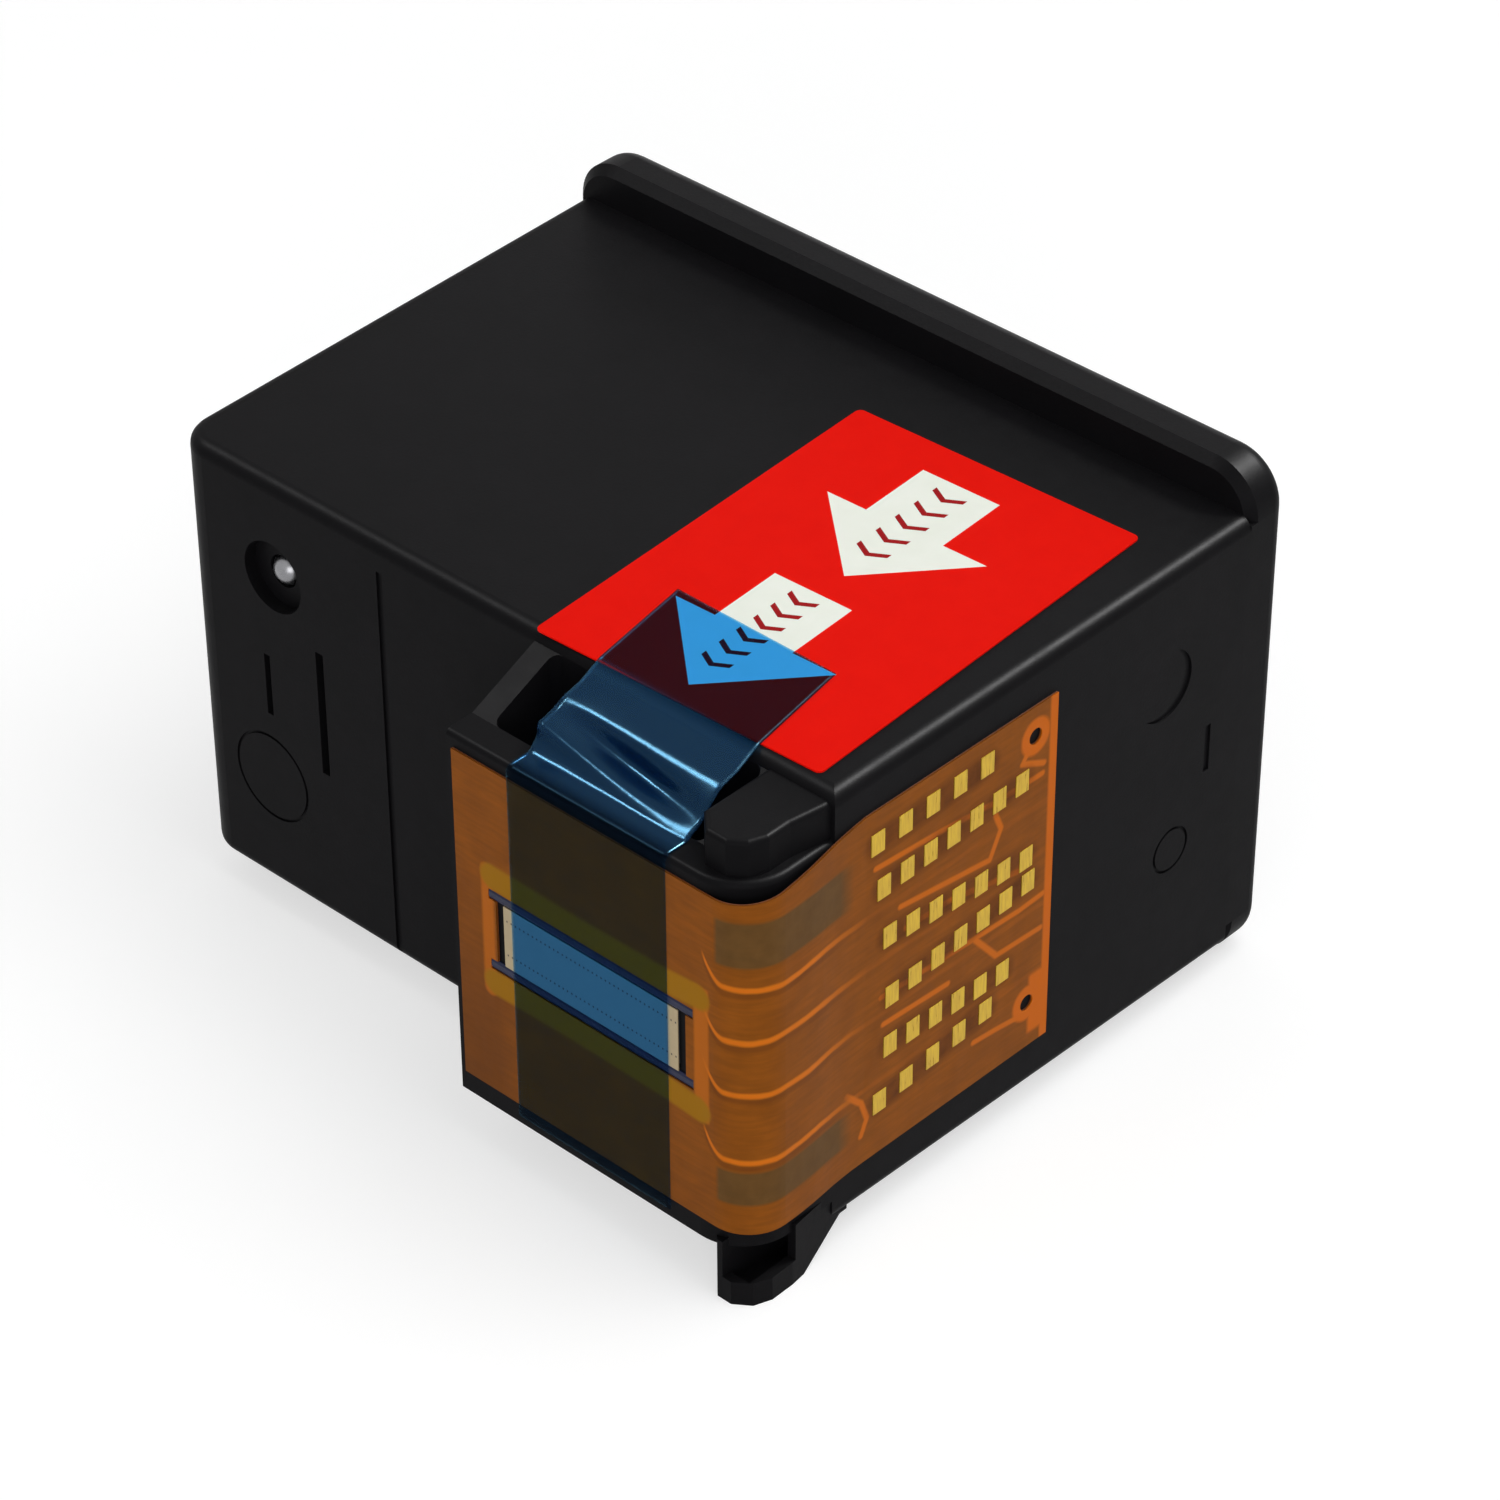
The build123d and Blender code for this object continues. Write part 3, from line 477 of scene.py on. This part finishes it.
def blue_tape():
    """Clear blue tape that tints what lies under it. It is glossier and cloudier where it is loose."""
    graph = Graph("blue_seal_tape")
    _, _, y, z = graph.design()
    loose = graph.both(
        graph.spread(y, -7.2, -6.2),
        graph.spread(y, -0.3, 0.7, 1.0, 0.0),
        graph.spread(z, 26.0, 27.5),
    )
    on_label = graph.spread(y, -1.0, 0.5)
    tone = graph.blend(on_label, (0.6, 0.725, 0.87, 1.0), (0.45, 0.77, 0.97, 1.0))
    tint = graph.add("ShaderNodeBsdfTransparent", Color=tone)
    haze = graph.add("ShaderNodeBsdfDiffuse", Color=(0.004, 0.03, 0.11, 1.0))
    cloudy = graph.mix(graph.both(loose, 0.2), tint, haze)
    normal = graph.bump(graph.noise(0.6, detail=2.0), 0.2, 0.0002)
    gloss = graph.add("ShaderNodeBsdfGlossy", Color=(0.1, 0.24, 0.33, 1.0), Roughness=0.24, Normal=normal)
    facing = graph.add("ShaderNodeLayerWeight", Blend=0.5).outputs["Facing"]
    grazing = graph.math("POWER", facing, 5.0)
    strong = graph.math("MULTIPLY_ADD", grazing, 0.75, 0.06)
    weak = graph.math("MULTIPLY_ADD", grazing, 0.18, 0.003)
    share = graph.math("MULTIPLY_ADD", graph.math("SUBTRACT", strong, weak), loose, weak)
    return graph.surface(graph.mix(share, cloudy, gloss))


def mesh_object(name, points, faces, materials, slots=None):
    """A mesh piece from its points, faces and the material number of each face."""
    mesh = bpy.data.meshes.new(name)
    mesh.from_pydata(points, [], faces)
    for material in materials:
        mesh.materials.append(material)
    if slots:
        for polygon, slot in zip(mesh.polygons, slots):
            polygon.material_index = slot
    mesh.update()
    piece = bpy.data.objects.new(name, mesh)
    bpy.context.scene.collection.objects.link(piece)
    return piece


def rounded_outline(left, right, bottom, top, radius, steps=6):
    """Points round a rounded rectangle."""
    points = []
    corners = (
        (right - radius, top - radius, 0),
        (left + radius, top - radius, 90),
        (left + radius, bottom + radius, 180),
        (right - radius, bottom + radius, 270),
    )
    for x, y, start in corners:
        for step in range(steps + 1):
            angle = radians(start + 90 * step / steps)
            points.append((x + radius * cos(angle), y + radius * sin(angle)))
    return points


def printed_sheet(name, regions, on_top, on_back, materials):
    """A closed thin sheet whose print is a list of regions, the later ones over the earlier ones.

    Each region is (material number, points). on_top and on_back place a flat point on the two sides.
    """
    points = []
    outlines = []
    for _, outline in regions:
        first = len(points)
        points += [Vector(point) for point in outline]
        outlines.append(list(range(first, len(points))))
    flat, _, cells, _, _, origins = delaunay_2d_cdt(points, [], outlines, 1, 1e-5)
    flat = [tuple(point) for point in flat]
    count = len(flat)
    slots = [regions[max(sources)][0] for sources in origins]
    borders = set()
    for cell in cells:
        borders.update(zip(cell, cell[1:] + cell[:1]))
    rim = sorted((start, end) for start, end in borders if (end, start) not in borders)
    solid = [on_top(*point) for point in flat] + [on_back(*point) for point in flat]
    faces = [list(cell) for cell in cells]
    faces += [[index + count for index in reversed(cell)] for cell in cells]
    faces += [[end, start, start + count, end + count] for start, end in rim]
    return mesh_object(name, solid, faces, materials, slots + [0] * (len(cells) + len(rim)))


def label_point(across, along, height):
    """A point over the tank's upper wall, by its place on the label."""
    x = label_middle_x + across * cos(label_turn) - along * sin(label_turn)
    run = label_front_y + across * sin(label_turn) + along * cos(label_turn)
    return place(
        x,
        run * cos(tank_draft) - height * sin(tank_draft),
        tank_height + run * sin(tank_draft) + height * cos(tank_draft),
    )


def arrow(tip_across, tip):
    """A block arrow on the label that points to its front edge."""
    left, right = arrow_head_sides
    shaft_left, shaft_right = arrow_shaft_sides
    neck = tip + arrow_head
    end = neck + arrow_shaft
    return [
        (tip_across, tip),
        (right, neck),
        (shaft_right, neck),
        (shaft_right, end),
        (shaft_left, end),
        (shaft_left, neck),
        (left, neck),
    ]


def chevron(along, half):
    """A small mark on an arrow, which points the same way."""
    ends = along + half * mark_lean
    return [
        (mark_across - half, ends),
        (mark_across, along),
        (mark_across + half, ends),
        (mark_across + half, ends + mark_stroke),
        (mark_across, along + mark_stroke),
        (mark_across - half, ends + mark_stroke),
    ]


def pull_label():
    """The red label with its two white arrows, each with a row of small marks."""
    half = label_width / 2
    outline = rounded_outline(-half, half, 0, label_length, label_corner_radius)
    regions = [(0, outline)]
    regions += [(1, arrow(*tip)) for tip in arrow_tips]
    for count, start, pitch, half_mark in mark_rows:
        regions += [(2, chevron(start + pitch * number, half_mark)) for number in range(count)]
    materials = [
        label_print("label_red", colour(228, 14, 4), colour(236, 20, 6)),
        label_print("label_white", colour(236, 240, 228), colour(244, 247, 238)),
        label_print("label_marks", colour(150, 22, 26), colour(166, 30, 32)),
    ]
    sheet = printed_sheet(
        "pull_label_print",
        regions,
        lambda across, along: label_point(across, along, label_thickness),
        lambda across, along: label_point(across, along, 0),
        materials,
    )
    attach(sheet, "root")
    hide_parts("pull_label")


def corner_arc(before, corner, after, radius):
    """Points round a corner of a line, tangent to both its sides."""
    back = (before - corner).normalized()
    ahead = (after - corner).normalized()
    half = back.angle(ahead) / 2
    reach = radius / tan(half)
    middle = corner + (back + ahead).normalized() * (radius / sin(half))
    first = corner + back * reach - middle
    last = corner + ahead * reach - middle
    points = []
    for step in range(tape_arc_steps + 1):
        points.append(middle + first.slerp(last, step / tape_arc_steps).normalized() * radius)
    return points


def tape_path():
    """Evenly spaced points of the tape's middle line as y and z, with its corners rounded."""
    corners = [Vector(corner) for corner in tape_corners]
    points = [corners[0]]
    for number, radius in enumerate(tape_corner_radii, 1):
        points += corner_arc(*corners[number - 1:number + 2], radius)
    points.append(corners[-1])
    spaced = [points[0]]
    for start, end in zip(points, points[1:]):
        pieces = max(1, round((end - start).length / tape_spacing))
        spaced += [start.lerp(end, (piece + 1) / pieces) for piece in range(pieces)]
    return spaced


def tape_dent(across, point):
    """How far the loose part of the tape is pushed in or out, by its place across and its height."""
    down = (dent_top - point.y) / dent_height
    if not 0 < down < 1 or point.x > dent_start:
        return 0.0
    lean = down - 0.36 - 0.34 * across
    valley = exp(-(lean / 0.17) ** 2) * sin(pi * (0.06 + 0.88 * across))
    crease = exp(-((lean - 0.3) / 0.09) ** 2) * (1 - across) ** 0.8
    bulge = exp(-((down - 0.5) / 0.3) ** 2) * (1 - across) ** 3
    fade = sin(pi * down) ** 0.5
    return (0.4 * crease + 0.5 * bulge - 1.0 * valley) * fade


def tape_shift(point):
    """How far the tape's run over the label has turned aside."""
    run = (point.x - tape_askew_start) / (tape_corners[0][0] - tape_askew_start)
    return tape_askew * max(0.0, min(1.0, run))


def tape_sides(path):
    """The points of the tape's outer and inner side, row by row."""
    low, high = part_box("seal_tape")
    left = (low.x - origin.x) / MM
    width = (high.x - low.x) / MM
    outer = []
    inner = []
    for number, point in enumerate(path):
        before = path[max(0, number - 1)]
        after = path[min(len(path) - 1, number + 1)]
        run = (after - before).normalized()
        outward = Vector((run.y, -run.x))
        for column in range(tape_columns + 1):
            across = column / tape_columns
            x = left + width * across + tape_shift(point)
            middle = point + outward * tape_dent(across, point)
            half = outward * (tape_thickness / 2)
            outer.append(place(x, *(middle + half)))
            inner.append(place(x, *(middle - half)))
    return outer, inner


def tape_faces(rows):
    """The faces of a closed ribbon: its outer and inner side, and the rim that joins them."""
    row = tape_columns + 1
    count = rows * row
    faces = []
    for number in range(rows - 1):
        for column in range(tape_columns):
            start = number * row + column
            face = [start, start + 1, start + row + 1, start + row]
            faces.append(face)
            faces.append([index + count for index in reversed(face)])
    rim = list(range(tape_columns))
    rim += [number * row + tape_columns for number in range(rows)]
    rim += [(rows - 1) * row + column for column in range(tape_columns - 1, -1, -1)]
    rim += [number * row for number in range(rows - 2, 0, -1)]
    for start, end in zip(rim, rim[1:] + rim[:1]):
        faces.append([end, start, start + count, end + count])
    return faces


def seal_tape():
    """The tape with a dented loop, a little askew on the label, in place of the plain solid."""
    path = tape_path()
    outer, inner = tape_sides(path)
    tape = mesh_object("seal_tape_film", outer + inner, tape_faces(len(path)), [blue_tape()])
    for polygon in tape.data.polygons:
        polygon.use_smooth = True
    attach(tape, "root")
    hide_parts("seal_tape")


def assign(node, material):
    """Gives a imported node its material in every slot."""
    mesh = nodes[node].data
    if not mesh.materials:
        mesh.materials.append(material)
    for index in range(len(mesh.materials)):
        mesh.materials[index] = material


def dress_nodes():
    """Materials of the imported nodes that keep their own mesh."""
    plastic = black_plastic()
    assign("tank_body", plastic)
    assign("tank_lid", plastic)
    assign("fill_plug", simple_metal("steel_ball", colour(120, 120, 124), colour(150, 150, 152), 0.3))
    assign("filter_screen", simple_metal("steel_mesh", colour(150, 150, 150), colour(175, 175, 175), 0.4))
    assign("ink_foam", simple_solid("wet_foam", colour(12, 12, 14), colour(22, 22, 26), 0.6, 1.5, 0.8))
    assign("printhead_chip", simple_solid("silicon", colour(70, 72, 80), colour(90, 92, 100), 0.25))
    assign("chip_adhesive", simple_solid("adhesive", colour(40, 38, 34), colour(60, 56, 50), 0.5))
    assign("ink_barrier", simple_solid("barrier_film", colour(150, 120, 60), colour(170, 140, 80), 0.4))
    assign("nozzle_plate", nozzle_metal())
    bead = simple_solid("encapsulant", colour(14, 18, 40), colour(26, 32, 66), 0.35)
    assign("encapsulant_bead_upper", bead)
    assign("encapsulant_bead_lower", bead)
    assign("flex_film", circuit_film())
    assign("flex_cover_layer", simple_solid("bond_layer", colour(112, 58, 22), colour(130, 70, 30), 0.4))
    assign("copper_traces", simple_metal("copper", colour(200, 120, 70), colour(220, 140, 86), 0.35))
    assign("contact_pads", gold_pads())


def add_camera():
    """The camera at the photograph's viewing angle."""
    level = Vector((cos(camera_azimuth), sin(camera_azimuth), 0))
    back = Vector((
        sin(camera_azimuth) * cos(camera_elevation),
        -cos(camera_azimuth) * cos(camera_elevation),
        sin(camera_elevation),
    ))
    up = back.cross(level)
    right = level * cos(camera_roll) + up * sin(camera_roll)
    top = up * cos(camera_roll) - level * sin(camera_roll)
    turn = Matrix((right, top, back)).transposed()
    data = bpy.data.cameras.new("camera")
    data.lens = camera_lens
    data.sensor_width = camera_sensor
    data.clip_start = 0.01
    data.clip_end = 20.0
    camera = bpy.data.objects.new("camera", data)
    camera.matrix_world = Matrix.Translation(place(*camera_point)) @ turn.to_4x4()
    bpy.context.scene.collection.objects.link(camera)
    bpy.context.scene.camera = camera


def add_lamp(name, stand, aim, size, power, mirrored_only=False):
    """A soft square lamp at a place in metres, aimed at a point. It may show in reflections alone."""
    data = bpy.data.lights.new(name, "AREA")
    data.size = size
    data.energy = power
    lamp = bpy.data.objects.new(name, data)
    lamp.location = stand
    lamp.rotation_euler = (Vector(aim) - Vector(stand)).to_track_quat("-Z", "Y").to_euler()
    lamp.visible_diffuse = not mirrored_only
    bpy.context.scene.collection.objects.link(lamp)


def add_lamps():
    """A key lamp above, a low fill lamp on the camera's side, and three lamps for highlights alone."""
    add_lamp("key_lamp", (0.22, 0.10, 0.55), (0, 0, 0.01), 0.40, 1.5)
    add_lamp("fill_lamp", (0.38, -0.50, 0.14), (0, 0, 0.01), 0.40, 1.5)
    add_lamp("edge_lamp", (0.164, 0.385, 0.51), (0, 0, 0.02), 0.14, 24.0, True)
    add_lamp("tape_lamp", (-0.33, -0.15, 0.50), (0.015, -0.02, 0.03), 0.16, 4.5, True)
    add_lamp("ridge_lamp", (-0.40, 0.55, 0.10), (0, 0, 0.03), 0.25, 0.6, True)


def background_rays(graph):
    """1 for the rays that show a background: the camera's, the mirrored and the transmitted ones."""
    path = graph.add("ShaderNodeLightPath")
    rays = ("Is Camera Ray", "Is Glossy Ray", "Is Transmission Ray")
    return graph.either(*[path.outputs[ray] for ray in rays])


def add_world():
    """A soft white world, which shows as white behind the object and in its reflections."""
    graph = Graph("studio", world=True)
    soft = graph.add("ShaderNodeBackground", Color=white, Strength=world_strength)
    plain = graph.add("ShaderNodeBackground", Color=white, Strength=background_strength)
    bpy.context.scene.world = graph.surface(graph.mix(background_rays(graph), soft, plain))


def add_floor():
    """A pale floor that keeps the object's shadow."""
    graph = Graph("studio_floor")
    dull = graph.add("ShaderNodeBsdfDiffuse", Color=floor_tone)
    glow = graph.add("ShaderNodeEmission", Color=white, Strength=floor_glow)
    share = graph.both(background_rays(graph), floor_glow_share)
    material = graph.surface(graph.mix(share, dull, glow))
    low, high = -floor_half, floor_half
    corners = [(low, low, 0), (high, low, 0), (high, high, 0), (low, high, 0)]
    mesh_object("studio_floor", corners, [[0, 1, 2, 3]], [material])


add_camera()
add_world()
add_floor()
add_lamps()
dress_nodes()
pull_label()
seal_tape()

bpy.context.scene.view_settings.view_transform = "Standard"
